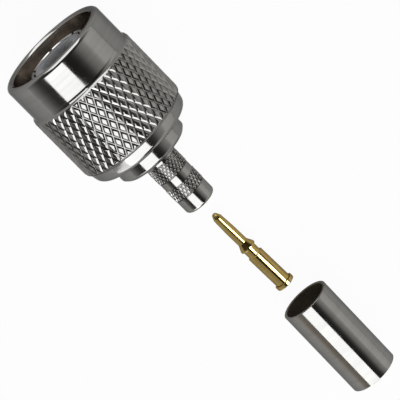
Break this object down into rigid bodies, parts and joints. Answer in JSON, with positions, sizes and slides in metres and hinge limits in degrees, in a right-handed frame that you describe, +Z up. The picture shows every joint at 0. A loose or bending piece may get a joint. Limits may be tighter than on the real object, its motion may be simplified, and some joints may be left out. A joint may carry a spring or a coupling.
{
  "type": "tnc connector",
  "caption": "Coaxial cable plug with a knurled screw coupling nut and a crimp stem, laid out in a row with its loose gold centre contact and crimp ferrule.",
  "frame": {"origin": "bottom centre of the whole row, on the table the three pieces lie on", "axes": "+X runs from the plug's mouth toward the ferrule, along every piece's axis, and +Z is up from the table"},
  "size_m": [0.0574, 0.0148, 0.0147],
  "materials": {
    "nickel_nut": "bright nickel plate",
    "nickel_body": "bright nickel plate",
    "spring_bronze": "bare bronze",
    "contact_plating": "bright nickel plate",
    "silicone": "matt",
    "ptfe": "matt white",
    "gold": "gold plate",
    "nickel_ferrule": "bright nickel plate"
  },
  "bodies": {
    "plug_body": {"connector_body": "nickel_body", "retaining_ring": "spring_bronze", "outer_contact": "contact_plating", "gasket": "silicone", "insulator": "ptfe", "center_contact": "gold", "crimp_ferrule": "nickel_ferrule"},
    "nut": {"coupling_nut": "nickel_nut"}
  },
  "joints": [
    {"name": "nut_spin", "type": "hinge", "parent": "plug_body", "child": "nut", "pos_m": [-0.01667, 0, 0.00735], "axis": [1, 0, 0], "continuous": true}
  ]
}
